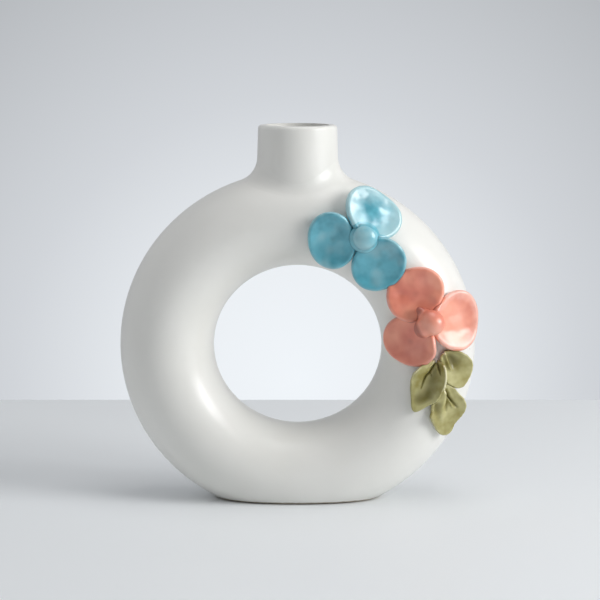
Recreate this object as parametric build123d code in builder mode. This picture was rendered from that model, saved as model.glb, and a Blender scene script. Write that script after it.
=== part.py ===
from build123d import *
from math import atan2, cos, radians, sin
import os

# A ring vase in glazed earthenware, with two flowers and three leaves of clay laid on its front.
# The origin is the middle of the flat foot. X runs to the right, Y to the back and Z up.
# The flowers are on the front, which faces -Y. All lengths are millimetres, all turns are degrees.

# The ring
ring_half_width = 69.8  # middle of the hole to the middle of the tube, sideways
ring_half_height = 67.8  # the same upwards, so that the hole is a little wider than high
tube_half_width = 25.0
tube_half_depth = 28.0
wall = 4.2
foot_cut = 10.0  # how much of the tube's lowest part the flat foot takes off
foot_round = 5.0

# The neck
neck_height = 24.4  # from the top of the ring to the lip
neck_radius = 20.9
neck_root_spread = 1.6  # the neck widens by this much on its way down to the ring
neck_flare = 13.0
lip_round = 1.9
bore_flare = 7.0

# The petals, each a round of clay pressed into a shallow bowl
petal_thickness = 4.2
petal_bowl = 32.0
petal_sink = 1.6  # how far a petal's back is pressed flat on the ring
rim_round = 1.8

blue_left_radius = 13.9
blue_top_radius = 14.9
blue_lower_radius = 14.1
coral_upper_radius = 14.7
coral_right_radius = 15.3
coral_lower_radius = 13.6

# The flowers' centres, each a pinched stub with a round head
head_radius = 7.0
head_height = 8.2  # the ring's skin to the middle of the head
stub_radius = 7.5
stub_waist = 6.3
stub_height = 6.5
stub_depth = 6.0  # how far the stub is drawn into the ring before it is cut to the skin

# The leaves, each a gutter of clay that is pinched narrow at its base and opens towards its tip
leaf_thickness = 3.4
leaf_sink = 1.0
leaf_round = 0.9
leaf_base_bend = 9.0  # radius of the gutter at the base
leaf_tip_bend = 34.0  # radius of the gutter at the tip
gutter_overrun = 6.0  # the gutter is drawn this much longer than the leaf before it is cut to shape

leaf_left_length = 29.1
leaf_left_width = 19.0
leaf_upper_length = 24.7
leaf_upper_width = 19.5
leaf_lower_length = 30.3
leaf_lower_width = 21.0

overrun = 20.0  # cuts and joins run past what they meet by this much

# Where each piece lies: the turn round the ring from the right-hand side, the turn round the tube
# from the front outwards, and how much further its face leans outwards
blue_left_place = (73.6, -12.4, 1.0)
blue_top_place = (61.6, 31.5, -3.0)
blue_lower_place = (49.0, -11.8, 1.0)
blue_centre_place = (60.9, 2.2, 2.0)
coral_upper_place = (27.5, -1.0, 0.0)
coral_right_place = (11.6, 29.5, -3.0)
coral_lower_place = (6.2, -21.2, 2.0)
coral_centre_place = (12.9, -2.0, 24.0)
leaf_left_place = (-15.2, -1.0, 0.0)
leaf_upper_place = (-6.7, 24.5, 0.0)
leaf_lower_place = (-21.9, 29.0, 0.0)

# Each petal's outline: its radius every tenth of a turn, as shares of its mean radius, starting where
# the ring runs anticlockwise and turning towards the hole
blue_left_shares = (0.95, 0.95, 1.05, 1.15, 1.05, 0.9, 0.85, 0.95, 1.1, 1.05)
blue_top_shares = (1.1, 0.95, 0.92, 0.9, 0.97, 1.07, 1.07, 0.93, 0.93, 1.1)
blue_lower_shares = (0.93, 1.0, 1.05, 1.05, 0.97, 0.93, 1.0, 1.05, 1.05, 1.0)
coral_upper_shares = (0.93, 1.0, 1.05, 1.1, 1.03, 0.93, 0.93, 1.03, 1.05, 0.97)
coral_right_shares = (0.96, 0.9, 0.97, 0.98, 1.02, 1.06, 1.03, 0.95, 1.03, 1.08)
coral_lower_shares = (0.93, 1.05, 1.1, 1.03, 0.95, 0.95, 1.05, 1.1, 0.95, 0.9)

# Each leaf's outline: half-widths on the outer side and on the hole's side, as shares of its width,
# at these shares of its length from base to tip
leaf_station_shares = (0.06, 0.2, 0.4, 0.6, 0.8, 0.94)
leaf_left_outer_shares = (0.3, 0.45, 0.5, 0.48, 0.3, 0.12)
leaf_left_inner_shares = (0.22, 0.4, 0.5, 0.4, 0.24, 0.12)
leaf_upper_outer_shares = (0.2, 0.4, 0.55, 0.62, 0.52, 0.24)
leaf_upper_inner_shares = (0.14, 0.24, 0.31, 0.35, 0.28, 0.14)
leaf_lower_outer_shares = (0.16, 0.36, 0.58, 0.6, 0.32, 0.18)
leaf_lower_inner_shares = (0.12, 0.18, 0.34, 0.43, 0.28, 0.14)

# Turns of the leaves' midribs in the ring's skin, from the ring's anticlockwise run
leaf_left_turn = 173.0
leaf_upper_turn = 219.0
leaf_lower_turn = 206.0

ring_centre_height = ring_half_height + tube_half_width - foot_cut
ring_top = ring_centre_height + ring_half_height  # the middle of the tube at its highest
overall_height = ring_top + tube_half_width + neck_height
face_on = Plane(origin=(0, 0, ring_centre_height), x_dir=(1, 0, 0), z_dir=(0, -1, 0))


def half_ring(half_width, half_depth, start_turn):
    """Half of the oval ring, from the level of its centre round to the other side."""
    side = 1 if start_turn == 0 else -1
    with BuildPart() as half:
        with BuildLine(face_on) as run:
            EllipticalCenterArc(
                (0, 0), ring_half_width, ring_half_height, start_angle=start_turn, arc_size=180
            )
        with BuildSketch(Plane.XY.offset(ring_centre_height)):
            with Locations((side * ring_half_width, 0)):
                Ellipse(half_width, half_depth)
        sweep(path=run.line)
    return half.part


def skin_plane(ring_turn, tube_turn, lean, height):
    """A plane over the ring's skin: its X runs round the ring and its Z points away from the clay."""
    along, across = radians(ring_turn), radians(tube_turn)
    faced = radians(tube_turn + lean)
    back = Vector(0, 1, 0)
    outward = Vector(cos(along) / ring_half_width, 0, sin(along) / ring_half_height).normalized()
    run = Vector(-ring_half_width * sin(along), 0, ring_half_height * cos(along)).normalized()
    middle = Vector(ring_half_width * cos(along), 0, ring_centre_height + ring_half_height * sin(along))
    skin = middle + outward * (tube_half_width * sin(across)) - back * (tube_half_depth * cos(across))
    normal = (outward * (sin(faced) / tube_half_width) - back * (cos(faced) / tube_half_depth)).normalized()
    return Plane(origin=skin + normal * height, x_dir=run, z_dir=normal)


# The outside of the vase, solid: the whole ring on its flat foot, then the neck
with BuildPart() as whole_outside:
    add(half_ring(tube_half_width, tube_half_depth, 0))
    add(half_ring(tube_half_width, tube_half_depth, 180))
    split(bisect_by=Plane.XY, keep=Keep.TOP)
    fillet(whole_outside.edges().group_by(Axis.Z)[0], radius=foot_round)
    with BuildSketch(Plane.XZ):
        with BuildLine():
            Polyline(
                (0, ring_top),
                (neck_radius + neck_root_spread, ring_top),
                (neck_radius, overall_height),
                (0, overall_height),
                close=True,
            )
        make_face()
    revolve(axis=Axis.Z)
    neck_root = whole_outside.edges().filter_by(lambda e: e.center().Z > ring_top and e.length > neck_radius)
    fillet(neck_root.sort_by(Axis.Z)[0], radius=neck_flare)
    lip = whole_outside.edges().group_by(Axis.Z)[-1]
    fillet(lip, radius=lip_round)

# The hollow inside: the channel round the ring, level above the foot, and the bore of the neck
with BuildPart() as hollow:
    add(half_ring(tube_half_width - wall, tube_half_depth - wall, 0))
    add(half_ring(tube_half_width - wall, tube_half_depth - wall, 180))
    split(bisect_by=Plane.XY.offset(wall), keep=Keep.TOP)
    with BuildSketch(Plane.XY.offset(ring_top)):
        Circle(neck_radius - wall)
    extrude(amount=overall_height + overrun - ring_top)
    bore_root = hollow.edges().filter_by(lambda e: e.center().Z > ring_top and e.length > neck_radius)
    fillet(bore_root.sort_by(Axis.Z)[0], radius=bore_flare)

with BuildPart() as vase_body:
    add(whole_outside.part)
    add(hollow.part, mode=Mode.SUBTRACT)


def petal_blank(place, mean_radius, radius_shares):
    """A round of clay pressed into a bowl: its outline, between two spheres one thickness apart."""
    plane = skin_plane(*place, petal_thickness - petal_sink)
    step = radians(360 / len(radius_shares))
    points = [
        (mean_radius * share * cos(i * step), mean_radius * share * sin(i * step))
        for i, share in enumerate(radius_shares)
    ]
    with BuildPart() as blank:
        with BuildSketch(plane):
            with BuildLine():
                Spline(points, periodic=True)
            make_face()
        extrude(amount=mean_radius, both=True)
        with Locations(plane.origin + plane.z_dir * petal_bowl):
            Sphere(petal_bowl + petal_thickness, mode=Mode.INTERSECT)
            Sphere(petal_bowl, mode=Mode.SUBTRACT)
    return blank.part


def leaf_blank(place, turn, length, width, outer_shares, inner_shares):
    """A pinched leaf: its outline, cut from a gutter that opens from its base to its tip."""
    skin = skin_plane(*place, leaf_thickness - leaf_sink)
    midrib = skin.x_dir * cos(radians(turn)) + skin.y_dir * sin(radians(turn))
    flat = Plane(origin=skin.origin, x_dir=midrib, z_dir=skin.z_dir)
    upright = Plane(origin=flat.origin, x_dir=flat.x_dir, z_dir=flat.x_dir.cross(flat.z_dir))
    reach = length / 2 + gutter_overrun
    opening = (leaf_tip_bend - leaf_base_bend) / length
    low_bend = leaf_base_bend - opening * gutter_overrun
    high_bend = leaf_tip_bend + opening * gutter_overrun
    tilt = atan2(high_bend - low_bend, 2 * reach)
    run = upright.x_dir * cos(tilt) + upright.y_dir * sin(tilt)
    start = upright.from_local_coords((-reach, low_bend))
    stations = [length * (share - 1 / 2) for share in leaf_station_shares]
    outer_side = [(x, width * share) for x, share in zip(stations, outer_shares)]
    inner_side = [(x, -width * share) for x, share in zip(stations, inner_shares)]
    with BuildPart() as blank:
        for depth, how in ((leaf_thickness, Mode.ADD), (0, Mode.SUBTRACT)):
            drop = low_bend + depth
            near = -drop * sin(tilt)
            far = near + 2 * reach * cos(tilt)
            narrow = drop * cos(tilt)
            broad = narrow + 2 * reach * sin(tilt)
            with BuildSketch(Plane(origin=start, x_dir=run, z_dir=upright.z_dir)):
                with BuildLine():
                    Polyline((near, 0), (near, narrow), (far, broad), (far, 0), close=True)
                make_face()
            revolve(axis=Axis(start, run), mode=how)
        with BuildSketch(flat):
            with BuildLine():
                Spline([(-length / 2, 0), *inner_side, (length / 2, 0), *reversed(outer_side)], periodic=True)
            make_face()
        extrude(amount=leaf_base_bend, both=True, mode=Mode.INTERSECT)
    return blank.part


def flower_centre(place):
    """A stub with a round head, pressed on where the petals meet and seated on the ring."""
    plane = skin_plane(*place, 0)
    upright = Plane(origin=plane.origin, x_dir=plane.x_dir, z_dir=plane.x_dir.cross(plane.z_dir))
    with BuildPart() as centre:
        with BuildSketch(upright):
            with BuildLine():
                Polyline(
                    (0, -stub_depth),
                    (stub_radius, -stub_depth),
                    (stub_radius, 0),
                    (stub_waist, stub_height),
                    (0, stub_height),
                    close=True,
                )
            make_face()
        revolve(axis=Axis(plane.origin, plane.z_dir))
        with Locations(plane.origin + plane.z_dir * head_height):
            Sphere(head_radius)
        add(whole_outside.part, mode=Mode.SUBTRACT)
    return centre.part


def seated(blank, edge_length, edge_round, laid_over):
    """The blank with its long edges rounded, cut to the ring's skin and to what is laid over it.

    A scrap that the cuts part from the piece is left out.
    """
    with BuildPart() as piece:
        add(blank)
        fillet(piece.edges().filter_by(lambda e: e.length > edge_length), radius=edge_round)
        add([whole_outside.part, *laid_over], mode=Mode.SUBTRACT)
    return piece.part.solids().sort_by(SortBy.VOLUME)[-1]


# The centres first, because the petals close round them
blue_centre = flower_centre(blue_centre_place)
coral_centre = flower_centre(coral_centre_place)

# The petals and the leaves, still square-edged and whole
blue_top = petal_blank(blue_top_place, blue_top_radius, blue_top_shares)
blue_left = petal_blank(blue_left_place, blue_left_radius, blue_left_shares)
blue_lower = petal_blank(blue_lower_place, blue_lower_radius, blue_lower_shares)
coral_right = petal_blank(coral_right_place, coral_right_radius, coral_right_shares)
coral_upper = petal_blank(coral_upper_place, coral_upper_radius, coral_upper_shares)
coral_lower = petal_blank(coral_lower_place, coral_lower_radius, coral_lower_shares)
left_leaf = leaf_blank(
    leaf_left_place,
    leaf_left_turn,
    leaf_left_length,
    leaf_left_width,
    leaf_left_outer_shares,
    leaf_left_inner_shares,
)
lower_leaf = leaf_blank(
    leaf_lower_place,
    leaf_lower_turn,
    leaf_lower_length,
    leaf_lower_width,
    leaf_lower_outer_shares,
    leaf_lower_inner_shares,
)
upper_leaf = leaf_blank(
    leaf_upper_place,
    leaf_upper_turn,
    leaf_upper_length,
    leaf_upper_width,
    leaf_upper_outer_shares,
    leaf_upper_inner_shares,
)

# Each blank with what lies over it, and the least length of the edges that are rounded
blanks = {
    "blue_petal_top": (blue_top, blue_top_radius, rim_round, [blue_centre]),
    "blue_petal_left": (blue_left, blue_left_radius, rim_round, [blue_centre, blue_top]),
    "blue_petal_lower": (blue_lower, blue_lower_radius, rim_round, [blue_centre, blue_top, blue_left]),
    "coral_petal_right": (coral_right, coral_right_radius, rim_round, [coral_centre]),
    "coral_petal_upper": (
        coral_upper,
        coral_upper_radius,
        rim_round,
        [coral_centre, coral_right, blue_lower],
    ),
    "coral_petal_lower": (
        coral_lower,
        coral_lower_radius,
        rim_round,
        [coral_centre, coral_right, coral_upper],
    ),
    "leaf_left": (left_leaf, leaf_left_width / 2, leaf_round, [coral_lower, coral_right]),
    "leaf_lower": (lower_leaf, leaf_lower_width / 2, leaf_round, [left_leaf]),
    "leaf_upper_right": (
        upper_leaf,
        leaf_upper_width / 2,
        leaf_round,
        [left_leaf, lower_leaf, coral_right, coral_lower],
    ),
}

pieces = {
    "vase_body": vase_body.part,
    "blue_flower_centre": blue_centre,
    "coral_flower_centre": coral_centre,
}
for name, (blank, edge_length, edge_round, laid_over) in blanks.items():
    pieces[name] = seated(blank, edge_length, edge_round, laid_over)

os.makedirs("parts", exist_ok=True)
for name, part in pieces.items():
    part.label = name
    export_step(part, f"parts/{name}.step")
    print(name, "solids", len(part.solids()), "volume", round(part.volume))
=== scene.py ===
import math

import bmesh
import bpy
import numpy as np
from mathutils import Matrix, Vector
from mathutils.bvhtree import BVHTree


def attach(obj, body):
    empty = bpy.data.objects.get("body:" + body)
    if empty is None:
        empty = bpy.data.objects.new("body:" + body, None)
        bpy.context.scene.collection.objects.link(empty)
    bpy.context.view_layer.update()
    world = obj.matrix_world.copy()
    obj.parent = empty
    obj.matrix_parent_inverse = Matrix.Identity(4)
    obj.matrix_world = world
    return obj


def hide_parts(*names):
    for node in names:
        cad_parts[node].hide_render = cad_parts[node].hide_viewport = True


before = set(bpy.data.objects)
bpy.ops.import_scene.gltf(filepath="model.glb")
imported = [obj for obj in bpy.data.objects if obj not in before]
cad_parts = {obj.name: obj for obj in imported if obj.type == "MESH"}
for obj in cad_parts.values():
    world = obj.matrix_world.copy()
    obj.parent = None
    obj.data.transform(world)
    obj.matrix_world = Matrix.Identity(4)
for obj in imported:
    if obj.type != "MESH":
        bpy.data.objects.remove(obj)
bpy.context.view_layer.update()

MM = 0.001

# The camera stands a little higher than the middle of the vase and looks down on it
CAMERA_AIM = Vector((1.26, 0.0, 106.56)) * MM
CAMERA_DISTANCE = 1175 * MM
CAMERA_PITCH = math.radians(7.45)
CAMERA_LENS = 132.0
CAMERA_SENSOR = 36.0
PHOTO_SIDE = 600
PHOTO_MIDDLE = PHOTO_SIDE / 2
PHOTO_FOCAL = CAMERA_LENS / CAMERA_SENSOR * PHOTO_SIDE
look = Vector((0, math.cos(CAMERA_PITCH), -math.sin(CAMERA_PITCH)))
eye = CAMERA_AIM - look * CAMERA_DISTANCE


class Number:
    """A number socket in a node tree, so that sums on it can be written as sums."""

    def __init__(self, graph, socket):
        self.graph, self.socket = graph, socket

    def __add__(self, other):
        return self.graph.math("ADD", self, other)

    __radd__ = __add__

    def __sub__(self, other):
        return self.graph.math("SUBTRACT", self, other)

    def __rsub__(self, other):
        return self.graph.math("SUBTRACT", other, self)

    def __mul__(self, other):
        return self.graph.math("MULTIPLY", self, other)

    __rmul__ = __mul__

    def __truediv__(self, other):
        return self.graph.math("DIVIDE", self, other)

    def __rtruediv__(self, other):
        return self.graph.math("DIVIDE", other, self)

    def __pow__(self, other):
        return self.graph.math("POWER", self, other)

    def __rpow__(self, other):
        return self.graph.math("POWER", other, self)

    def clamped(self):
        return self.graph.node("ShaderNodeClamp", {}, {"Value": self}).number("Result")


class Made:
    """A node that has been added, whose outputs are asked for by name or by place."""

    def __init__(self, graph, made):
        self.graph, self.made = graph, made

    def __getitem__(self, name):
        return self.made.outputs[name]

    def number(self, name):
        return Number(self.graph, self.made.outputs[name])


class Graph:
    """A node tree, shader or geometry, to which nodes are added one call at a time."""

    def __init__(self, tree):
        self.tree = tree

    def node(self, kind, settings, sockets):
        made = self.tree.nodes.new(kind)
        for name, value in settings.items():
            if name == "stops":
                set_stops(made.color_ramp, value)
            else:
                setattr(made, name, value)
        for name, value in sockets.items():
            self.put(made.inputs[name], value)
        return Made(self, made)

    def put(self, socket, value):
        if isinstance(value, Number):
            value = value.socket
        if isinstance(value, bpy.types.NodeSocket):
            self.tree.links.new(value, socket)
        else:
            socket.default_value = value

    def math(self, operation, *values):
        sockets = dict(enumerate(values))
        return self.node("ShaderNodeMath", {"operation": operation}, sockets).number("Value")


def set_stops(ramp, stops):
    """Puts the stops (place, colour) on a colour ramp."""
    while len(ramp.elements) < len(stops):
        ramp.elements.new(1.0)
    for element, (place, colour) in zip(ramp.elements, stops):
        element.position = place
        element.color = (*colour, 1.0)


def link_object(made):
    bpy.context.collection.objects.link(made)
    return made


def mesh_object(name, points, faces):
    """A smooth-shaded mesh piece that sits at the origin."""
    mesh = bpy.data.meshes.new(name)
    mesh.from_pydata([tuple(p) for p in points], [], faces)
    mesh.polygons.foreach_set("use_smooth", [True] * len(mesh.polygons))
    mesh.update()
    return link_object(bpy.data.objects.new(name, mesh))


# The camera
camera_data = bpy.data.cameras.new("camera")
camera_data.lens = CAMERA_LENS
camera_data.sensor_width = CAMERA_SENSOR
camera = link_object(bpy.data.objects.new("camera", camera_data))
camera.location = eye
camera.rotation_euler = (math.pi / 2 - CAMERA_PITCH, 0, 0)
bpy.context.scene.camera = camera
bpy.context.scene.view_settings.view_transform = "Standard"

# The table, whose back edge lies behind the vase, and the backdrop behind it
TABLE_HALF_WIDTH = 1.4
TABLE_FRONT = -1.6
TABLE_BACK = 0.296
BACKDROP_PLACE = 1.2
BACKDROP_HALF_WIDTH = 2.2
BACKDROP_BOTTOM = -0.9
BACKDROP_TOP = 2.4
GLOW_RADIUS = 0.62
GLOW_DROP = 0.14


def sheet_of(name, corners):
    made = mesh_object(name, corners, [(0, 1, 2, 3)])
    return made


table = sheet_of(
    "table",
    [
        (-TABLE_HALF_WIDTH, TABLE_FRONT, 0),
        (TABLE_HALF_WIDTH, TABLE_FRONT, 0),
        (TABLE_HALF_WIDTH, TABLE_BACK, 0),
        (-TABLE_HALF_WIDTH, TABLE_BACK, 0),
    ],
)
backdrop = sheet_of(
    "backdrop",
    [
        (-BACKDROP_HALF_WIDTH, BACKDROP_PLACE, BACKDROP_BOTTOM),
        (BACKDROP_HALF_WIDTH, BACKDROP_PLACE, BACKDROP_BOTTOM),
        (BACKDROP_HALF_WIDTH, BACKDROP_PLACE, BACKDROP_TOP),
        (-BACKDROP_HALF_WIDTH, BACKDROP_PLACE, BACKDROP_TOP),
    ],
)


def fresh_material(name):
    made = bpy.data.materials.new(name)
    made.use_nodes = True
    made.node_tree.nodes.clear()
    return made, Graph(made.node_tree)


def finish_material(graph, surface):
    graph.node("ShaderNodeOutputMaterial", {}, {"Surface": surface})


def own_place(graph):
    return graph.node("ShaderNodeTexCoord", {}, {})["Object"]


def table_material():
    made, graph = fresh_material("table_paint")
    paint = graph.node(
        "ShaderNodeBsdfPrincipled",
        {},
        {"Base Color": (0.845, 0.87, 0.885, 1), "Roughness": 0.45, "Specular IOR Level": 0.2},
    )
    finish_material(graph, paint["BSDF"])
    return made


def backdrop_material():
    """Painted light: a glowing light grey, brighter low in the middle and darker towards the corners, as a
    lit studio wall is.
    """
    made, graph = fresh_material("backdrop_painted_glow")
    axes = graph.node("ShaderNodeSeparateXYZ", {}, {"Vector": own_place(graph)})
    across = axes.number("X") / GLOW_RADIUS
    up = (axes.number("Z") + GLOW_DROP) / GLOW_RADIUS
    spread = (across * across + up * up) ** 0.5
    tone = graph.node(
        "ShaderNodeValToRGB",
        {"stops": [
            (0.0, (0.88, 0.92, 0.96)),
            (0.2, (0.84, 0.875, 0.91)),
            (0.5, (0.64, 0.665, 0.70)),
            (0.8, (0.50, 0.52, 0.545)),
            (1.0, (0.40, 0.41, 0.43)),
        ]},
        {"Fac": spread.clamped()},
    )
    glow = graph.node("ShaderNodeEmission", {}, {"Color": tone["Color"], "Strength": 1.0})
    finish_material(graph, glow["Emission"])
    return made


table.data.materials.append(table_material())
backdrop.data.materials.append(backdrop_material())

# The lights: a large soft one at the right, a lower one beside it, one overhead, and the room's own
LIGHTS_AIM = Vector((0, 0, 0.08))
WALL_STRENGTH = 0.535
CEILING_STRENGTH = 0.39
SEEN_STRENGTH = 0.6
AIR_COLOUR = (0.97, 0.98, 1, 1)


def softbox(name, place, width, height, power):
    light = bpy.data.lights.new(name, "AREA")
    light.shape = "RECTANGLE"
    light.size, light.size_y = width, height
    light.energy = power
    made = link_object(bpy.data.objects.new(name, light))
    made.location = place
    made.rotation_euler = (LIGHTS_AIM - Vector(place)).to_track_quat("-Z", "Y").to_euler()


softbox("key", place=(1.18, -0.54, 0.60), width=0.7, height=0.6, power=9.4)
softbox("key_behind", place=(1.25, -0.42, 0.5), width=0.7, height=0.45, power=5.0)
softbox("over", place=(0.2, -0.1, 1.6), width=0.9, height=0.9, power=5.15)


def studio_air():
    """The light of the room round the vase: a pale ceiling and a pale wall at the left, the rest dim."""
    made = bpy.data.worlds.new("studio")
    made.use_nodes = True
    made.node_tree.nodes.clear()
    graph = Graph(made.node_tree)
    way = graph.node("ShaderNodeTexCoord", {}, {})["Generated"]
    axes = graph.node("ShaderNodeSeparateXYZ", {}, {"Vector": way})
    wall = graph.math("MAXIMUM", axes.number("X") * -1, 0.0) * WALL_STRENGTH
    ceiling = graph.math("MAXIMUM", axes.number("Z"), 0.0) * CEILING_STRENGTH
    to_camera = graph.node("ShaderNodeLightPath", {}, {}).number("Is Camera Ray")
    strength = (wall + ceiling) * (1 - to_camera) + to_camera * SEEN_STRENGTH
    air = graph.node("ShaderNodeBackground", {}, {"Color": AIR_COLOUR, "Strength": strength})
    graph.node("ShaderNodeOutputWorld", {}, {"Surface": air["Background"]})
    return made


bpy.context.scene.world = studio_air()

# Glaze that faces this way mirrors the key light into the camera
GLEAM = Vector((0.50, -0.81, 0.30))

# Sizes of the ring that the flowers and leaves are laid on, as in the part's source
RING_HALF_WIDTH = 69.8
RING_HALF_HEIGHT = 67.8
RING_CENTRE_HEIGHT = 82.8
TUBE_HALF_WIDTH = 25.0
TUBE_HALF_DEPTH = 28.0


def skin_plane(ring_turn, tube_turn, lean, height):
    """Where a piece lies on the ring's skin, in millimetres: X runs round the ring, Z faces out."""
    along, across = math.radians(ring_turn), math.radians(tube_turn)
    faced = math.radians(tube_turn + lean)
    back = Vector((0, 1, 0))
    outward = Vector((math.cos(along) / RING_HALF_WIDTH, 0, math.sin(along) / RING_HALF_HEIGHT))
    outward.normalize()
    run = Vector((-RING_HALF_WIDTH * math.sin(along), 0, RING_HALF_HEIGHT * math.cos(along)))
    run.normalize()
    middle = Vector((
        RING_HALF_WIDTH * math.cos(along),
        0,
        RING_CENTRE_HEIGHT + RING_HALF_HEIGHT * math.sin(along),
    ))
    sideways = TUBE_HALF_WIDTH * math.sin(across)
    forwards = TUBE_HALF_DEPTH * math.cos(across)
    skin = middle + outward * sideways - back * forwards
    normal = outward * (math.sin(faced) / TUBE_HALF_WIDTH) - back * (math.cos(faced) / TUBE_HALF_DEPTH)
    normal.normalize()
    side = normal.cross(run)
    place = Matrix((run, side, normal)).transposed().to_4x4()
    place.translation = skin + normal * height
    return place


def on_plane(place, pixel):
    """The point of a piece's own plane that the photograph shows at a pixel, in its own millimetres."""
    across = (pixel[0] - PHOTO_MIDDLE) / PHOTO_FOCAL
    down = (pixel[1] - PHOTO_MIDDLE) / PHOTO_FOCAL
    right = Vector((1, 0, 0))
    ray = look + right * across - right.cross(look) * down
    normal = place.to_3x3().col[2]
    start = eye / MM
    reach = (place.translation - start).dot(normal) / ray.dot(normal)
    local = place.inverted() @ (start + ray * reach)
    return local.x, local.y


def finish_piece(piece, node, slot):
    """Glazes a finished piece and puts it in the place of its solid."""
    piece.data.materials.clear()
    piece.data.materials.append(glazes[slot])
    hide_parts(node)
    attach(piece, "root")


# The glazes, whose Mix nodes have their colour sockets at these places
MIX_FIRST, MIX_SECOND, MIX_RESULT = 6, 7, 2


def noise(graph, place, grain, detail=2.0):
    """Cloudy noise with so many grains to the unit that the place is measured in."""
    sockets = {"Vector": place, "Scale": grain, "Detail": detail, "Roughness": 0.5}
    return graph.node("ShaderNodeTexNoise", {}, sockets).number("Fac")


def blend(graph, share, first, second):
    """A colour between two others."""
    sockets = {"Factor": share, MIX_FIRST: first, MIX_SECOND: second}
    return graph.node("ShaderNodeMix", {"data_type": "RGBA"}, sockets)[MIX_RESULT]


def between(value, low, high):
    """0 below low, 1 above high."""
    return ((value - low) / (high - low)).clamped()


# The vase's own glaze: its two whites, its specks, and how high above the foot it starts, in metres
WHITE_THICK = (0.80, 0.795, 0.755, 1)
WHITE_THIN = (0.83, 0.825, 0.79, 1)
WHITE_GRAIN = 22
WHITE_EDGES = (0.35, 0.65)
SPECK_COLOUR = (0.30, 0.24, 0.17, 1)
SPECK_GRAIN = 110.0
SPECK_DRAW = 0.93
SPECK_SIZE = 0.07
SPECK_BLUR = 0.03
SPECK_STRENGTH = 0.55
# Bare clay of the foot, dark enough to be also the painted contact shadow under the foot's edge
CLAY_AND_CONTACT_SHADE = (0.36, 0.30, 0.22, 1)
FOOT_EDGES = (0.0011, 0.0018)
FOOT_GRAIN = 300
FOOT_RAGGED_HEIGHT = 0.0008
SWELL_GRAIN = 55
SWELL_HEIGHT = 0.0006
PORE_GRAIN = 900
PORE_HEIGHT = 0.00001


def white_glaze():
    """Off-white glaze over pale clay: faint clouds, a few iron specks, and a bare foot whose clay is darkened
    to paint the contact shadow under its edge.
    """
    made, graph = fresh_material("white_glaze")
    place = own_place(graph)
    clouds = between(noise(graph, place, WHITE_GRAIN, detail=3.0), *WHITE_EDGES)
    colour = blend(graph, clouds, WHITE_THICK, WHITE_THIN)
    grains = graph.node("ShaderNodeTexVoronoi", {}, {"Vector": place, "Scale": SPECK_GRAIN})
    lottery = graph.node("ShaderNodeSeparateColor", {}, {"Color": grains["Color"]})
    speck_size = between(lottery.number("Red"), SPECK_DRAW, 1.0) * SPECK_SIZE
    specks = between(speck_size - grains.number("Distance"), 0.0, SPECK_BLUR) * SPECK_STRENGTH
    colour = blend(graph, specks, colour, SPECK_COLOUR)
    # Below the glaze's ragged edge the foot is bare clay, darkened as painted contact shadow
    height = graph.node("ShaderNodeSeparateXYZ", {}, {"Vector": place}).number("Z")
    ragged = height + noise(graph, place, FOOT_GRAIN) * FOOT_RAGGED_HEIGHT
    glazed = between(ragged, *FOOT_EDGES)
    colour = blend(graph, glazed, CLAY_AND_CONTACT_SHADE, colour)
    swells = noise(graph, place, SWELL_GRAIN, detail=1.0) * SWELL_HEIGHT
    pores = noise(graph, place, PORE_GRAIN, detail=1.0) * PORE_HEIGHT
    sockets = {"Height": swells + pores, "Distance": 1.0, "Strength": 0.35}
    bump = graph.node("ShaderNodeBump", {}, sockets)
    clay = graph.node(
        "ShaderNodeBsdfPrincipled",
        {},
        {
            "Base Color": colour,
            "Roughness": 0.7 - glazed * 0.2,
            "Coat Weight": glazed * 0.52,
            "Coat Roughness": 0.24,
            "Coat IOR": 1.5,
            "Normal": bump["Normal"],
        },
    )
    finish_material(graph, clay["BSDF"])
    return made


# Pieces carry a mark named rim: under the low mark their glaze lies deep and dark, which also serves as
# painted shade in seams, creases and shaded sides; over BREAK_MARK it runs thin
POOL_AND_SHADE_MARK = 0.16
POOL_AND_SHADE_DEPTH = 0.5
POOL_AND_SHADE_DARKNESS = 0.6
BREAK_MARK = 0.97
BREAK_END = 1.18
BREAK_GRAIN = 260
BREAK_RAGGED = 0.12
CLOUD_EDGES = (0.27, 0.6)
PATCH_EDGES = (0.5, 0.68)
PATCH_GRAIN_SHARE = 0.75
RIPPLE_GRAIN = 240
RIPPLE_HEIGHT = 0.0004


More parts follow.
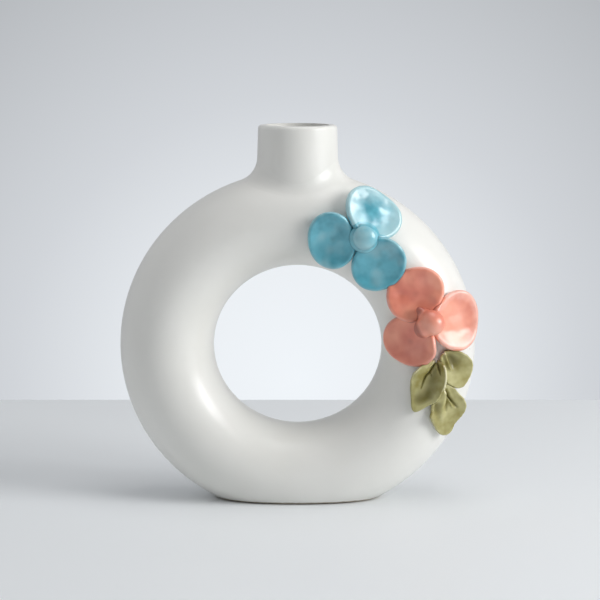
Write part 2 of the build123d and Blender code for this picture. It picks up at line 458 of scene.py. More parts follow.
def flower_glaze(name, deep, plain, thin, clouds_per_metre, gloss, patchy):
    """Coloured glaze that pools deep in hollows, breaks thin over rims, and is cloudy between; its deep,
    darkened colour also paints shade, and its thin colour paints sheen, where the marks ask for it.
    """
    made, graph = fresh_material(name)
    place = own_place(graph)
    clouds = between(noise(graph, place, clouds_per_metre), *CLOUD_EDGES)
    colour = blend(graph, clouds, deep, plain)
    patches = noise(graph, place, clouds_per_metre * PATCH_GRAIN_SHARE, detail=1.0)
    colour = blend(graph, between(patches, *PATCH_EDGES) * patchy, colour, thin)
    rim = graph.node("ShaderNodeAttribute", {"attribute_name": "rim"}, {}).number("Fac")
    # Deep glaze in hollows, darkened further, and painted shade where marks are lowered for it
    pooled_and_shaded = between(POOL_AND_SHADE_MARK - rim, 0.0, POOL_AND_SHADE_DEPTH)
    deepest = tuple(v * POOL_AND_SHADE_DARKNESS for v in deep[:3]) + (1,)
    colour = blend(graph, pooled_and_shaded, colour, deepest)
    breaking = rim + noise(graph, place, BREAK_GRAIN) * BREAK_RAGGED
    colour = blend(graph, between(breaking, BREAK_MARK, BREAK_END), colour, thin)
    ripple = noise(graph, place, RIPPLE_GRAIN, detail=1.0) * RIPPLE_HEIGHT
    bump = graph.node("ShaderNodeBump", {}, {"Height": ripple, "Distance": 1.0, "Strength": 0.3})
    clay = graph.node(
        "ShaderNodeBsdfPrincipled",
        {},
        {
            "Base Color": colour,
            "Roughness": 0.4,
            "Specular IOR Level": gloss,
            "Coat Weight": 0.34 * gloss,
            "Coat Roughness": 0.12,
            "Coat IOR": 1.55,
            "Normal": bump["Normal"],
        },
    )
    finish_material(graph, clay["BSDF"])
    return made


glazes = {
    "white_glaze": white_glaze(),
    "turquoise_glaze": flower_glaze(
        "turquoise_glaze",
        deep=(0.03, 0.27, 0.36, 1),
        plain=(0.10, 0.46, 0.57, 1),
        thin=(0.45, 0.67, 0.705, 1),
        clouds_per_metre=120,
        gloss=1.0,
        patchy=0.34,
    ),
    "coral_glaze": flower_glaze(
        "coral_glaze",
        deep=(0.68, 0.17, 0.11, 1),
        plain=(0.90, 0.345, 0.225, 1),
        thin=(0.91, 0.555, 0.47, 1),
        clouds_per_metre=80,
        gloss=0.85,
        patchy=0.12,
    ),
    "olive_glaze": flower_glaze(
        "olive_glaze",
        deep=(0.28, 0.24, 0.055, 1),
        plain=(0.47, 0.44, 0.20, 1),
        thin=(0.76, 0.72, 0.46, 1),
        clouds_per_metre=150,
        gloss=0.5,
        patchy=0.0,
    ),
}
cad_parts["vase_body"].data.materials.clear()
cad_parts["vase_body"].data.materials.append(glazes["white_glaze"])

# The petals: rounds of clay pressed into shallow bowls, made by one geometry tree
PETAL_THICKNESS = 4.2
PETAL_SINK = 1.6
PETAL_SPOKES = 144
PETAL_RINGS = 72
PETAL_INPUTS = {
    "Radius": 14.0,
    "Thickness": PETAL_THICKNESS,
    "Bowl": 32.0,
    "Hollow": 0.3,
    "Dents": 1.5,
    "Ripples": 0.5,
    "Seed": 0.0,
    "Pale": 0.0,
    "Oval": 0.03,
    "Oval Turn": 0.0,
    "Egg": 0.03,
    "Egg Turn": 0.0,
    "Corners": 0.02,
    "Corner Turn": 0.0,
}

# The share of a petal's rings that lie on its top, and the share that lie there and round its rim
TOP_SHARE = 0.6
BACK_SHARE = 0.78

# Grains of a petal's dents and of its thumb marks, to a millimetre, and how far apart seeds lie
DENT_GRAIN = 0.085
THUMB_GRAIN = 0.12
SEED_STEP = 50

# The mark of glaze that is thin all over, towards which a petal is marked to paint sheen on it, and how near
# points lie that are welded into one
THIN_MARK = 1.12
WELD_REACH = 0.0005


def petal_tree():
    """The rule of a petal: a disc with a full round rim, dished, dented and cut to its outline."""
    tree = bpy.data.node_groups.new("pressed_petal", "GeometryNodeTree")
    for name, default in PETAL_INPUTS.items():
        made = tree.interface.new_socket(name=name, in_out="INPUT", socket_type="NodeSocketFloat")
        made.default_value = default
    tree.interface.new_socket(name="Glaze", in_out="INPUT", socket_type="NodeSocketMaterial")
    tree.interface.new_socket(name="Geometry", in_out="OUTPUT", socket_type="NodeSocketGeometry")
    graph = Graph(tree)
    given = graph.node("NodeGroupInput", {}, {})
    size = {name: given.number(name) for name in PETAL_INPUTS}
    grid = graph.node(
        "GeometryNodeMeshGrid",
        {},
        {"Size X": 1.0, "Size Y": 1.0, "Vertices X": PETAL_SPOKES + 1, "Vertices Y": PETAL_RINGS + 1},
    )
    flat = graph.node("GeometryNodeInputPosition", {}, {})["Position"]
    cell = graph.node("ShaderNodeSeparateXYZ", {}, {"Vector": flat})
    turn = (cell.number("X") + 0.5) * math.tau
    run = cell.number("Y") + 0.5
    sine, cosine = graph.math("SINE", turn), graph.math("COSINE", turn)

    # The outline is a mean radius with three slow waves round it
    outline = 1 + size["Oval"] * graph.math("COSINE", (turn - size["Oval Turn"]) * 2)
    outline = outline + size["Egg"] * graph.math("COSINE", turn - size["Egg Turn"])
    outline = outline + size["Corners"] * graph.math("COSINE", (turn - size["Corner Turn"]) * 3)
    radius = size["Radius"] * outline

    # Over the top, round the rim, and back underneath
    reach = graph.math("MINIMUM", run / TOP_SHARE, (1 - run) / (1 - BACK_SHARE)).clamped()
    rolled = between(run, TOP_SHARE, BACK_SHARE) * math.pi
    half = size["Thickness"] / 2
    out = (radius - half) * reach + half * graph.math("SINE", rolled)
    x, y = out * cosine, out * sine
    bowl = size["Bowl"] - graph.math("SQRT", size["Bowl"] * size["Bowl"] - out * out)
    sockets = {"X": x, "Y": y, "Z": size["Seed"] * SEED_STEP}
    spot = graph.node("ShaderNodeCombineXYZ", {}, sockets)["Vector"]
    dents = (noise(graph, spot, DENT_GRAIN, detail=1.0) - 0.5) * size["Dents"]
    dents = dents + (noise(graph, spot, THUMB_GRAIN, detail=0.0) - 0.5) * size["Ripples"]
    share = out / radius
    hollow = size["Hollow"] * (1 - share * share).clamped() ** 2
    z = bowl + dents - hollow - half * (1 - graph.math("COSINE", rolled))
    point = graph.node("ShaderNodeCombineXYZ", {}, {"X": x, "Y": y, "Z": z})
    mark = graph.math("MINIMUM", share, 1.0)
    # Painted sheen: a petal that faces the key light is marked towards thin, pale glaze all over, standing
    # for that light's broad reflection
    mark = mark + (THIN_MARK - mark) * size["Pale"]
    marked = graph.node(
        "GeometryNodeStoreNamedAttribute",
        {"data_type": "FLOAT", "domain": "POINT"},
        {"Geometry": grid["Mesh"], "Name": "rim", "Value": mark},
    )
    moved = graph.node(
        "GeometryNodeSetPosition", {}, {"Geometry": marked["Geometry"], "Position": point["Vector"]}
    )
    closed = graph.node(
        "GeometryNodeMergeByDistance", {}, {"Geometry": moved["Geometry"], "Distance": WELD_REACH}
    )
    smooth = graph.node("GeometryNodeSetShadeSmooth", {}, {"Geometry": closed["Geometry"]})
    whole = graph.node("GeometryNodeRealizeInstances", {}, {"Geometry": smooth["Geometry"]})
    sockets = {"Geometry": whole["Geometry"], "Material": given["Glaze"]}
    glazed = graph.node("GeometryNodeSetMaterial", {}, sockets)
    graph.node("NodeGroupOutput", {}, {"Geometry": glazed["Geometry"]})
    return tree


pressed_petal = petal_tree()


def waves(shares):
    """The first three waves of an outline given as shares every tenth of a turn: (height, turn) each."""
    count = len(shares)
    found = []
    for wave in (1, 2, 3):
        turned = [2 * math.pi * wave * i / count for i in range(count)]
        a = sum(s * math.cos(t) for s, t in zip(shares, turned)) * 2 / count
        b = sum(s * math.sin(t) for s, t in zip(shares, turned)) * 2 / count
        found.append((math.hypot(a, b), math.atan2(b, a) / wave))
    return found


def tipped(place, degrees):
    """A place turned about its own middle, so that its face leans towards the key light's gleam."""
    axis = place.to_3x3().col[2].cross(GLEAM)
    middle = Matrix.Translation(place.translation)
    return middle @ Matrix.Rotation(math.radians(degrees), 4, axis) @ middle.inverted() @ place


def push(mesh, place, pixel, height, width):
    """Raises or sinks a soft round spot of a petal at a pixel of the photograph."""
    points = np.empty(len(mesh.vertices) * 3)
    mesh.vertices.foreach_get("co", points)
    points = points.reshape(-1, 3)
    away = points[:, :2] - np.array(on_plane(place, pixel))
    points[:, 2] += height * np.exp(-(away**2).sum(axis=1) / width**2)
    mesh.vertices.foreach_set("co", points.ravel())


def petal(node, slot, place, radius, shares, pushes, **sizes):
    """One petal made by the tree, turned into a plain mesh, thumbed and laid on the ring."""
    piece = mesh_object(node + "_glazed", [], [])
    rule = piece.modifiers.new("rule", "NODES")
    rule.node_group = pressed_petal
    (egg, egg_turn), (oval, oval_turn), (corners, corner_turn) = waves(shares)
    given = {
        "Radius": radius,
        "Egg": egg,
        "Egg Turn": egg_turn,
        "Oval": oval,
        "Oval Turn": oval_turn,
        "Corners": corners,
        "Corner Turn": corner_turn,
        "Glaze": glazes[slot],
        **sizes,
    }
    for socket in pressed_petal.interface.items_tree:
        if socket.in_out == "INPUT" and socket.name in given:
            rule[socket.identifier] = given[socket.name]
    shape = bpy.data.meshes.new_from_object(piece.evaluated_get(bpy.context.evaluated_depsgraph_get()))
    piece.modifiers.clear()
    for spot in pushes:
        push(shape, place, *spot)
    shape.transform(Matrix.Scale(MM, 4) @ place)
    piece.data = shape
    finish_piece(piece, node, slot)


# Where the petals are pushed in and out, in pixels of the photograph
BLUE_LEFT_LOW_DENT = (336.0, 258.0)
BLUE_LEFT_HIGH_DENT = (345.0, 222.0)
BLUE_TOP_SWELL = (378.0, 209.5)
BLUE_TOP_DENT = (357.0, 198.5)
BLUE_LOWER_DENT = (397.0, 257.0)
BLUE_LOWER_SWELL = (376.0, 262.0)
CORAL_UPPER_TUCK = (391.5, 281.5)
CORAL_UPPER_DENT = (399.0, 295.0)
CORAL_UPPER_SWELL = (418.0, 288.0)
CORAL_UPPER_LIP = (436.0, 299.0)
CORAL_RIGHT_SWELL = (457.0, 320.0)
CORAL_RIGHT_DENT = (470.0, 330.0)
CORAL_LOWER_LIP = (436.5, 346.0)
CORAL_LOWER_DENT = (429.0, 350.0)
CORAL_LOWER_HOLLOW = (402.0, 352.0)

# Shares are a petal's radius every tenth of a turn, and a push is a pixel, a height and a width
PETAL_RISE = PETAL_THICKNESS - PETAL_SINK
petal(
    "blue_petal_left",
    "turquoise_glaze",
    skin_plane(ring_turn=73.6, tube_turn=-12.4, lean=1.0, height=PETAL_RISE),
    radius=13.9,
    shares=(0.95, 0.95, 1.05, 1.15, 1.05, 0.9, 0.85, 0.95, 1.1, 1.05),
    pushes=[(BLUE_LEFT_LOW_DENT, -0.6, 4.0), (BLUE_LEFT_HIGH_DENT, -0.5, 4.0)],
    Seed=1.0,
    Bowl=42.0,
)
petal(
    "blue_petal_top",
    "turquoise_glaze",
    tipped(skin_plane(ring_turn=61.9, tube_turn=29.6, lean=-1.1, height=PETAL_RISE + 0.2), degrees=9.0),
    radius=14.9,
    shares=(1.1, 0.95, 0.92, 0.9, 0.97, 1.07, 1.06, 0.92, 0.95, 1.1),
    pushes=[(BLUE_TOP_SWELL, 2.0, 5.6), (BLUE_TOP_DENT, -0.6, 3.0)],
    Seed=2.0,
    Bowl=65.0,
    # Painted sheen, as this petal faces the key light
    Pale=0.76,
)
petal(
    "blue_petal_lower",
    "turquoise_glaze",
    skin_plane(ring_turn=48.7, tube_turn=-12.5, lean=1.7, height=PETAL_RISE - 0.1),
    radius=14.4,
    shares=(0.93, 1.0, 1.05, 1.05, 0.97, 0.93, 1.0, 1.05, 1.05, 1.0),
    pushes=[(BLUE_LOWER_DENT, -0.6, 4.0), (BLUE_LOWER_SWELL, 0.5, 4.0)],
    Seed=3.0,
    Bowl=42.0,
)
petal(
    "coral_petal_upper",
    "coral_glaze",
    skin_plane(ring_turn=27.5, tube_turn=-1.0, lean=0.0, height=PETAL_RISE - 0.2),
    radius=14.7,
    shares=(0.93, 1.0, 1.05, 1.1, 1.03, 0.93, 0.93, 1.03, 1.05, 0.97),
    pushes=[
        (CORAL_UPPER_TUCK, -1.9, 3.4),
        (CORAL_UPPER_DENT, -0.7, 2.6),
        (CORAL_UPPER_SWELL, 0.6, 6.0),
        (CORAL_UPPER_LIP, 0.9, 3.0),
    ],
    Seed=4.0,
    Bowl=60.0,
)
petal(
    "coral_petal_right",
    "coral_glaze",
    skin_plane(ring_turn=11.6, tube_turn=30.9, lean=-2.4, height=PETAL_RISE + 0.1),
    radius=15.3,
    shares=(0.96, 0.9, 0.97, 0.98, 1.02, 1.06, 1.03, 0.95, 1.03, 1.08),
    pushes=[(CORAL_RIGHT_SWELL, 0.4, 5.0), (CORAL_RIGHT_DENT, -0.5, 4.0)],
    Seed=5.0,
    Bowl=60.0,
    # Painted sheen, as this petal faces the key light
    Pale=0.54,
)
petal(
    "coral_petal_lower",
    "coral_glaze",
    tipped(skin_plane(ring_turn=5.7, tube_turn=-22.8, lean=3.6, height=PETAL_RISE), degrees=-7.0),
    radius=14.2,
    shares=(0.93, 1.05, 1.1, 1.03, 0.95, 0.95, 1.05, 1.1, 0.95, 0.9),
    pushes=[(CORAL_LOWER_LIP, 1.5, 3.5), (CORAL_LOWER_DENT, -0.8, 4.0), (CORAL_LOWER_HOLLOW, -0.5, 5.0)],
    Seed=6.0,
    Bowl=55.0,
)

# The leaves: slabs of clay cut to outline, folded into gutters and creased
LEAF_THICKNESS = 3.4
LEAF_SINK = 1.0
LEAF_ROUND = 0.9
LEAF_BASE_BEND = 9.0
LEAF_TIP_BEND = 34.0
LEAF_SPOKES = 288
LEAF_TOP_RINGS = 84
LEAF_ROUND_RINGS = 10
LEAF_BACK_RINGS = 12
LEAF_WAVES = 26
LEAF_MARK = 0.2
LEAF_EDGE_MARK = 0.75
CREASE_FADE = 0.6
GUTTER_STEPS = 5
OUTLINE_STEPS = 8

# The gutter opens up to this share of a leaf's length and rises up to this share of its bend
OPENING_END = 1.2
RISING_END = 0.9


def stacked_rings(name, rings, marks):
    """A closed skin over a stack of rings, whose first and last rings are gathered into points."""
    count, spokes = len(rings), len(rings[0])
    points = [rings[0].mean(axis=0), *rings[1:-1].reshape(-1, 3), rings[-1].mean(axis=0)]
    values = [marks[0].mean(), *marks[1:-1].reshape(-1), marks[-1].mean()]
    last = len(points) - 1
    faces = []
    for j in range(spokes):
        k = (j + 1) % spokes
        faces.append((0, 1 + j, 1 + k))
        faces.append((last, last - spokes + k, last - spokes + j))
    for i in range(count - 3):
        low, high = 1 + i * spokes, 1 + (i + 1) * spokes
        for j in range(spokes):
            k = (j + 1) % spokes
            faces.append((low + j, high + j, high + k, low + k))
    piece = mesh_object(name, points, faces)
    mark = piece.data.attributes.new("rim", "FLOAT", "POINT")
    mark.data.foreach_set("value", [float(v) for v in values])
    return piece


def laid(piece, place):
    """A piece made in millimetres in its own plane, put in its place on the vase."""
    piece.data.transform(Matrix.Scale(MM, 4) @ place)
    return piece


def raised(place, height):
    return place @ Matrix.Translation((0, 0, height))


def gutter_height(x, y, length):
    """How high the folded clay of a leaf stands, bent tightly at its base and widely at its tip."""
    opened = np.clip(x / length + 1 / 2, 0, OPENING_END)
    bend = LEAF_BASE_BEND + (LEAF_TIP_BEND - LEAF_BASE_BEND) * opened
    side = np.minimum(np.abs(y), bend * RISING_END)
    return bend - np.sqrt(bend * bend - side * side)


def on_gutter(place, pixels, length):
    """Pixels of the photograph laid on the gutter, by stepping the plane up to where each one meets it."""
    found = []
    for pixel in pixels:
        height = 0.0
        for _ in range(GUTTER_STEPS):
            x, y = on_plane(raised(place, height), pixel)
            height = float(gutter_height(x, y, length))
        found.append((x, y))
    return np.array(found)


def closeness_to(points, line, width):
    """How near each point is to a run of straight pieces, 1 on it, dying away at its far end."""
    lengths = np.hypot(*(line[1:] - line[:-1]).T)
    passed, whole = 0.0, lengths.sum()
    best, where = np.full(len(points), np.inf), np.zeros(len(points))
    for a, b, length in zip(line[:-1], line[1:], lengths):
        share = np.clip(((points - a) @ (b - a)) / length**2, 0, 1)
        gap = np.hypot(*(points - a - share[:, None] * (b - a)).T)
        where = np.where(gap < best, (passed + share * length) / whole, where)
        best = np.minimum(best, gap)
        passed += length
    return np.exp(-((best / width) ** 2)) * (1 - CREASE_FADE * where**4)


def leaf(node, place, length, middle, outline, creases):
    """One leaf: its outline from the photograph, and creases as (line, height, width, paleness), whose
    paleness paints light on ridges and folds and shade in grooves and hollows, along with thin and deep
    glaze.
    """
    edge = on_gutter(place, outline + outline[:1], length)
    centre = on_gutter(place, [middle], length)[0]
    steps = np.linspace(0, 1, OUTLINE_STEPS, endpoint=False)[:, None]
    dense = np.concatenate([a + (b - a) * steps for a, b in zip(edge[:-1], edge[1:])]) - centre
    turns = np.arctan2(dense[:, 1], dense[:, 0]) % math.tau
    order = np.argsort(turns)
    spokes = np.arange(LEAF_SPOKES) * math.tau / LEAF_SPOKES
    radius = np.interp(spokes, turns[order], np.hypot(dense[:, 0], dense[:, 1])[order], period=math.tau)

    # Only the slower waves of the outline are kept, so that no corner of it stays sharp
    spectrum = np.fft.rfft(radius)
    spectrum[LEAF_WAVES:] = 0
    radius = np.fft.irfft(spectrum, LEAF_SPOKES)
    ways = np.stack([np.cos(spokes), np.sin(spokes)], axis=1)
    lines = [(on_gutter(place, line, length), *rest) for line, *rest in creases]
    rings, marks = [], []

    def ring(inner, out, drop):
        spots = centre + ways * inner[:, None]
        height = gutter_height(spots[:, 0], spots[:, 1], length)
        near_edge = np.clip(inner / (radius - LEAF_ROUND), 0, 1)
        mark = LEAF_MARK + LEAF_EDGE_MARK * near_edge**6
        # Each crease's paleness lifts or lowers the glaze mark: painted light on ridges, painted shade and
        # deep glaze in grooves
        for line, lift, width, pale in lines:
            closeness = closeness_to(spots, line, width)
            height = height + lift * closeness
            mark = mark + pale * closeness
        reach = centre + ways * (inner + out)[:, None]
        rings.append(np.column_stack([reach, height - drop]))
        marks.append(mark)

    # Over the top, round the edge, and back underneath
    none = np.zeros(LEAF_SPOKES)
    for step in range(LEAF_TOP_RINGS + 1):
        ring((radius - LEAF_ROUND) * step / LEAF_TOP_RINGS, none, none)
    for step in range(1, LEAF_ROUND_RINGS + 1):
        turn = math.pi * step / LEAF_ROUND_RINGS
        out, drop = LEAF_ROUND * math.sin(turn), LEAF_ROUND * (1 - math.cos(turn))
        ring(radius - LEAF_ROUND, none + out, none + drop)
    for step in range(1, LEAF_BACK_RINGS + 1):
        share = step / LEAF_BACK_RINGS
        thickness = 2 * LEAF_ROUND + (LEAF_THICKNESS - 2 * LEAF_ROUND) * math.sin(share * math.pi / 2)
        ring((radius - LEAF_ROUND) * (1 - share), none, none + thickness)
    piece = stacked_rings(node + "_glazed", np.array(rings), np.array(marks))
    finish_piece(laid(piece, place), node, "olive_glaze")


def leaf_place(ring_turn, tube_turn, turn, rise):
    """Where a leaf lies: its X runs along its midrib, turned from the way round the ring."""
    skin = skin_plane(ring_turn, tube_turn, lean=0.0, height=LEAF_THICKNESS - LEAF_SINK + rise)
    return skin @ Matrix.Rotation(math.radians(turn), 4, "Z")


# Lines read off the photograph, in its pixels: outlines run round each leaf, creases from base to tip
LEFT_OUTLINE = [
    (436.2, 361.0), (430.5, 360.7), (425.4, 363.6), (419.0, 367.4), (412.6, 373.8), (410.4, 380.8),
    (410.1, 388.4), (410.7, 397.4), (411.1, 406.9), (412.6, 411.4), (415.5, 412.7), (420.3, 411.1),
    (424.1, 408.8), (428.6, 406.3), (433.0, 404.7), (436.9, 402.5), (440.7, 397.4), (443.2, 391.6),
    (445.8, 387.2), (447.1, 380.8), (447.1, 374.4), (446.1, 368.0), (443.2, 362.9), (439.7, 360.7),
]
LEFT_MIDDLE = (428.5, 387.0)
LEFT_MIDRIB = [(436.2, 362.3), (433.0, 367.4), (429.5, 372.5), (426.0, 375.7), (424.1, 379.5), (421.0, 388.1)]
LEFT_LIP = [(434.2, 362.2), (429.8, 367.2), (425.4, 372.4)]
LEFT_VEIN = [(430.2, 373.1), (431.4, 376.3)]
LEFT_SECOND = [(437.2, 363.0), (438.9, 368.5), (441.0, 374.7)]
LEFT_SECOND_LIP = [(436.6, 365.5), (439.4, 374.6)]
LEFT_FOLD = [(439.7, 361.7), (444.5, 365.5), (446.0, 371.9), (446.2, 378.2), (444.8, 385.9), (442.6, 391.0)]
LEFT_BULGE = [(416.6, 371.4), (423.1, 369.7), (429.0, 365.0)]
LEFT_VALLEY = [(436.0, 364.0), (433.5, 374.0), (430.5, 385.0), (428.0, 396.0)]
# A low sag over the lower part of the left leaf, darkened as painted shade
LEFT_SHADE = [(415.0, 400.0), (424.0, 399.0), (433.0, 394.0)]
UPPER_OUTLINE = [
    (444.5, 352.1), (449.6, 351.2), (456.0, 350.5), (462.4, 352.1), (468.7, 355.3), (473.2, 360.4),
    (474.2, 365.5), (473.5, 370.6), (471.3, 376.3), (468.1, 382.1), (464.3, 387.2), (459.8, 388.8),
    (455.4, 388.1), (450.9, 385.9), (447.7, 384.0), (445.8, 378.2), (443.9, 371.9), (442.0, 365.5),
    (441.0, 359.1), (442.6, 354.7),
]
UPPER_MIDDLE = (456.5, 369.0)
UPPER_RIDGE = [(444.8, 353.0), (446.4, 359.0), (448.3, 365.5), (450.9, 370.0)]
UPPER_HOLLOW = [(449.5, 354.5), (453.0, 361.0), (456.0, 368.0)]
LOWER_OUTLINE = [
    (447.1, 384.3), (449.6, 385.3), (455.4, 388.4), (460.4, 394.2), (464.9, 398.6), (467.5, 403.7),
    (467.8, 406.9), (466.2, 412.0), (462.4, 417.1), (457.9, 421.6), (454.7, 425.4), (452.8, 430.5),
    (449.6, 434.3), (445.2, 436.2), (440.7, 435.0), (437.5, 431.8), (435.6, 428.0), (432.4, 422.2),
    (431.0, 418.0), (433.0, 413.3), (434.0, 407.6), (436.1, 402.5), (438.5, 397.4), (441.5, 391.0),
]
LOWER_MIDDLE = (449.5, 410.0)
LOWER_GROOVE = [(445.8, 389.7), (449.0, 397.4), (456.6, 406.9)]
LOWER_GROOVE_LIP = [(448.0, 400.2), (452.4, 407.2)]
LOWER_FOLD = [(443.6, 393.0), (442.6, 398.5), (441.0, 404.5), (440.6, 411.0), (441.4, 418.0)]
LOWER_FOLD_EDGE = [(446.4, 394.0), (447.0, 399.5), (446.0, 405.5), (445.4, 411.0)]
LOWER_NOTCH = [(436.5, 406.0), (434.5, 413.0)]

# The last number of each crease is its paleness: painted light where above nought, painted shade where below
leaf(
    "leaf_upper_right",
    leaf_place(ring_turn=-6.7, tube_turn=24.5, turn=219.0, rise=0.5),
    length=24.7,
    middle=UPPER_MIDDLE,
    outline=UPPER_OUTLINE,
    creases=[(UPPER_RIDGE, 2.0, 0.9, 0.5), (UPPER_HOLLOW, -2.0, 3.2, -0.65)],
)
leaf(
    "leaf_lower",
    leaf_place(ring_turn=-21.9, tube_turn=29.0, turn=206.0, rise=0.0),
    length=30.3,
    middle=LOWER_MIDDLE,
    outline=LOWER_OUTLINE,
    creases=[
        (LOWER_GROOVE, -1.9, 0.7, -0.6),
        (LOWER_GROOVE_LIP, 0.7, 0.55, 0.6),
        (LOWER_FOLD_EDGE, -1.2, 0.7, -0.3),
        (LOWER_FOLD, 2.2, 2.3, 0.3),
        (LOWER_NOTCH, -2.0, 1.4, -0.3),
    ],
)
leaf(
    "leaf_left",
    leaf_place(ring_turn=-15.2, tube_turn=-1.0, turn=173.0, rise=0.5),
    length=29.1,
    middle=LEFT_MIDDLE,
    outline=LEFT_OUTLINE,
    creases=[
        (LEFT_VALLEY, -1.8, 3.4, -0.3),
        (LEFT_MIDRIB, -1.5, 0.5, -0.5),
        (LEFT_LIP, 0.7, 0.6, 0.5),
        (LEFT_VEIN, -0.6, 0.4, -0.3),
        (LEFT_SECOND, -1.5, 0.55, -0.5),
        (LEFT_SECOND_LIP, 0.6, 0.5, 0.5),
        (LEFT_FOLD, 1.5, 1.3, 0.3),
        (LEFT_BULGE, 1.2, 2.6, 0.1),
        (LEFT_SHADE, -0.8, 4.5, -0.5),
    ],
)

# The blue flower's centre: a round button on a wider flange, pressed on a little askew
blue_seat = skin_plane(ring_turn=60.9, tube_turn=2.2, lean=2.0, height=0.0)
BUTTON_SPOKES = 96
BUTTON_ROOT = [(0.0, -3.0), (6.9, -3.0), (7.1, -1.0), (7.3, 1.0)]
BUTTON_OVAL = 0.012
BUTTON_OVAL_TURN = 0.7
BUTTON_CORNERS = 0.008
BUTTON_TWIST = 0.2
FLANGE_PIXEL = (363.8, 238.6)
FLANGE_HEIGHT = 5.0
FLANGE_RADIUS = 7.5
FLANGE_EDGE = 1.4
FLANGE_TURN = 70
FLANGE_MARK = 0.4
DOME_PIXEL = (365.0, 238.0)
DOME_HEIGHT = 9.2
DOME_RADIUS = 6.2
DOME_EDGE = 2.6
DOME_TURN = 60
# The dome's glaze is marked thin and pale, partly as painted reflection of the broad front light; its foot is
# marked paler still
DOME_THIN_AND_SHEEN_MARK = 0.97
DOME_FOOT_MARK = 1.1
DOME_FOOT_DEPTH = 2.0
UNDERCUT_TURN = -40


def arc(centre, radius, start, end, count):
    """Points (radius from the axis, height) on a round of a turned profile, angles from level."""
    turns = [math.radians(start + (end - start) * i / (count - 1)) for i in range(count)]
    return [(centre[0] + radius * math.cos(t), centre[1] + radius * math.sin(t)) for t in turns]


crown = (DOME_RADIUS - DOME_EDGE) / math.cos(math.radians(DOME_TURN))
crown_middle = DOME_HEIGHT - crown * math.sin(math.radians(DOME_TURN))
button = [
    *BUTTON_ROOT,
    *arc((FLANGE_RADIUS - FLANGE_EDGE, FLANGE_HEIGHT), FLANGE_EDGE, UNDERCUT_TURN, FLANGE_TURN, count=10),
    *arc((DOME_RADIUS - DOME_EDGE, DOME_HEIGHT), DOME_EDGE, UNDERCUT_TURN, DOME_TURN, count=30),
    *arc((0.0, crown_middle), crown + DOME_EDGE, DOME_TURN, 90, count=20)[1:],
]
flange_shift = np.array(on_plane(raised(blue_seat, FLANGE_HEIGHT), FLANGE_PIXEL))
dome_shift = np.array(on_plane(raised(blue_seat, DOME_HEIGHT), DOME_PIXEL))
spokes = np.arange(BUTTON_SPOKES) * math.tau / BUTTON_SPOKES
level = np.ones(BUTTON_SPOKES)
rings, marks = [], []
for radius, height in reversed(button):
    share = min(max((height - FLANGE_HEIGHT) / (DOME_HEIGHT - FLANGE_HEIGHT), 0), 1)
    x, y = flange_shift + (dome_shift - flange_shift) * share
    oval = BUTTON_OVAL * np.cos(2 * spokes + BUTTON_OVAL_TURN)
    corners = BUTTON_CORNERS * np.cos(3 * spokes + height * BUTTON_TWIST)
    uneven = radius * (1 + oval + corners)
    rings.append(np.column_stack([x + uneven * np.cos(spokes), y + uneven * np.sin(spokes), level * height]))
    # Flange glaze plain; the dome and its foot pale, partly as painted reflection
    if height < DOME_HEIGHT - DOME_FOOT_DEPTH:
        mark = FLANGE_MARK
    elif height < DOME_HEIGHT:
        mark = DOME_FOOT_MARK
    else:
        mark = DOME_THIN_AND_SHEEN_MARK
    marks.append(level * mark)
finish_piece(
    laid(stacked_rings("blue_flower_centre_glazed", np.array(rings), np.array(marks)), blue_seat),
    "blue_flower_centre",
    "turquoise_glaze",
)

# The coral flower's centre: a rolled lump with a round head and a pinched tip
coral_seat = skin_plane(ring_turn=12.9, tube_turn=-2.0, lean=24.0, height=0.0)
HEAD_PIXEL = (433.3, 323.6)
HEAD_TOP_PIXEL = (430.6, 319.6)
ROLL_PIXEL = (423.6, 328.4)
STUB_PIXEL = (428.0, 321.0)
STUB_ROOT_PIXEL = (427.0, 325.0)
TIP_ROOT_PIXEL = (425.0, 315.5)
TIP_MIDDLE_PIXEL = (421.2, 312.0)
TIP_PIXEL = (419.0, 309.4)
CORAL_BALLS = [
    (HEAD_PIXEL, 9.3, 6.1),
    (HEAD_TOP_PIXEL, 8.6, 4.9),
    (ROLL_PIXEL, 5.8, 5.1),
    (STUB_PIXEL, 2.0, 6.1),
    (STUB_ROOT_PIXEL, -2.0, 6.3),
    (TIP_ROOT_PIXEL, 5.2, 3.4),
    (TIP_MIDDLE_PIXEL, 4.6, 2.2),
    (TIP_PIXEL, 4.6, 1.2),
]
HEAD_PULL, ROLL_PULL, STUB_PULL = 0.45, 0.25, 0.3
LUMP_BLEND = 1.7
LUMP_REACH = 24.0
LUMP_HALVINGS = 30
# The head's glaze is marked thin and pale, partly as painted light; away from the head the lump is marked
# ever darker, as painted shade on its shaded side
HEAD_MARK = 0.94
OFF_HEAD_SHADE_MARK = -0.42
OFF_HEAD_REACH = 3


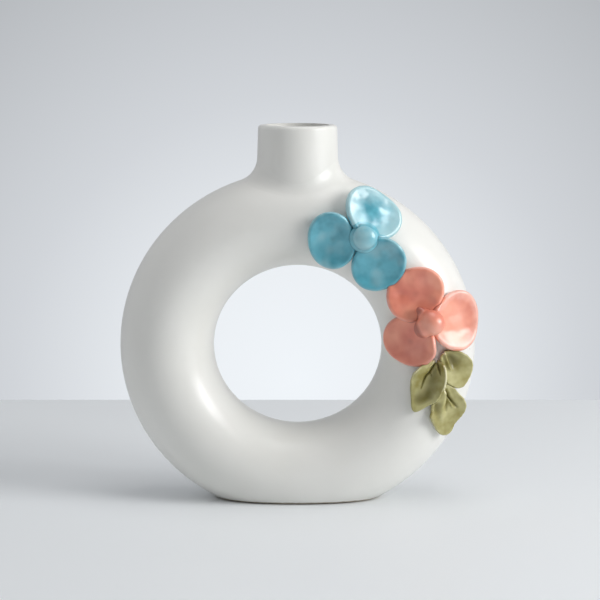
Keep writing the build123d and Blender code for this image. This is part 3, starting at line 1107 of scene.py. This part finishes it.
def lump(name, place, balls, blend):
    """Balls grown together, each given by its pixel in the photograph, its height and its radius."""
    middles = np.array([[*on_plane(raised(place, height), pixel), height] for pixel, height, _ in balls])
    radii = np.array([radius for _, _, radius in balls])

    # A point well inside the lump, from which its skin is looked for in every direction
    head, _, roll, stub = middles[:4]
    inner = head * HEAD_PULL + roll * ROLL_PULL + stub * STUB_PULL
    ball = bmesh.new()
    bmesh.ops.create_icosphere(ball, subdivisions=6, radius=1.0)
    mesh = bpy.data.meshes.new(name)
    ball.to_mesh(mesh)
    ball.free()
    ways = np.array([v.co[:] for v in mesh.vertices])
    near, far = np.zeros(len(ways)), np.full(len(ways), LUMP_REACH)
    for _ in range(LUMP_HALVINGS):
        reach = (near + far) / 2
        spots = inner + ways * reach[:, None]
        gaps = np.linalg.norm(spots[:, None, :] - middles, axis=2) - radii
        outside = -np.log(np.exp(-gaps * blend).sum(axis=1)) / blend > 0
        far = np.where(outside, reach, far)
        near = np.where(outside, near, reach)
    spots = inner + ways * near[:, None]
    mesh.vertices.foreach_set("co", spots.ravel())
    mesh.polygons.foreach_set("use_smooth", [True] * len(mesh.polygons))
    # Painted shade: the glaze darkens with distance from the head
    mark = mesh.attributes.new("rim", "FLOAT", "POINT")
    off_head = np.clip(np.linalg.norm(spots - head, axis=1) - radii[0], 0, OFF_HEAD_REACH)
    mark.data.foreach_set("value", (HEAD_MARK + OFF_HEAD_SHADE_MARK * off_head).ravel())
    mesh.update()
    return link_object(bpy.data.objects.new(name, mesh))


finish_piece(
    laid(lump("coral_flower_centre_glazed", coral_seat, CORAL_BALLS, LUMP_BLEND), coral_seat),
    "coral_flower_centre",
    "coral_glaze",
)

# Where two pieces of clay meet, the glaze is marked deep and dark in the seam between them: painted shade, as
# the shadow there
SEAM_REACH = 1.5 * MM
SEAM_SHADE_MARK = -0.3


def spread_of(piece):
    """The least and the greatest corner of a piece's own mesh."""
    points = np.empty(len(piece.data.vertices) * 3)
    piece.data.vertices.foreach_get("co", points)
    points = points.reshape(-1, 3)
    return points.min(axis=0), points.max(axis=0)


def shade_seams(pieces):
    """Paints shade into each piece where it comes close to a neighbour, by marking its glaze as deep there.
    """
    skins = [
        BVHTree.FromPolygons(
            [v.co[:] for v in piece.data.vertices], [f.vertices[:] for f in piece.data.polygons]
        )
        for piece in pieces
    ]
    spreads = [spread_of(piece) for piece in pieces]
    for i, piece in enumerate(pieces):
        low, high = spreads[i]
        near = [
            skins[j]
            for j, (other_low, other_high) in enumerate(spreads)
            if j != i and (low < other_high + SEAM_REACH).all() and (other_low < high + SEAM_REACH).all()
        ]
        for vertex, mark in zip(piece.data.vertices, piece.data.attributes["rim"].data):
            gaps = [skin.find_nearest(vertex.co, SEAM_REACH)[3] for skin in near]
            gap = min([g for g in gaps if g is not None], default=SEAM_REACH)
            mark.value += (SEAM_SHADE_MARK - mark.value) * (1 - gap / SEAM_REACH)


shade_seams([o for o in bpy.data.objects if o.type == "MESH" and "rim" in o.data.attributes])
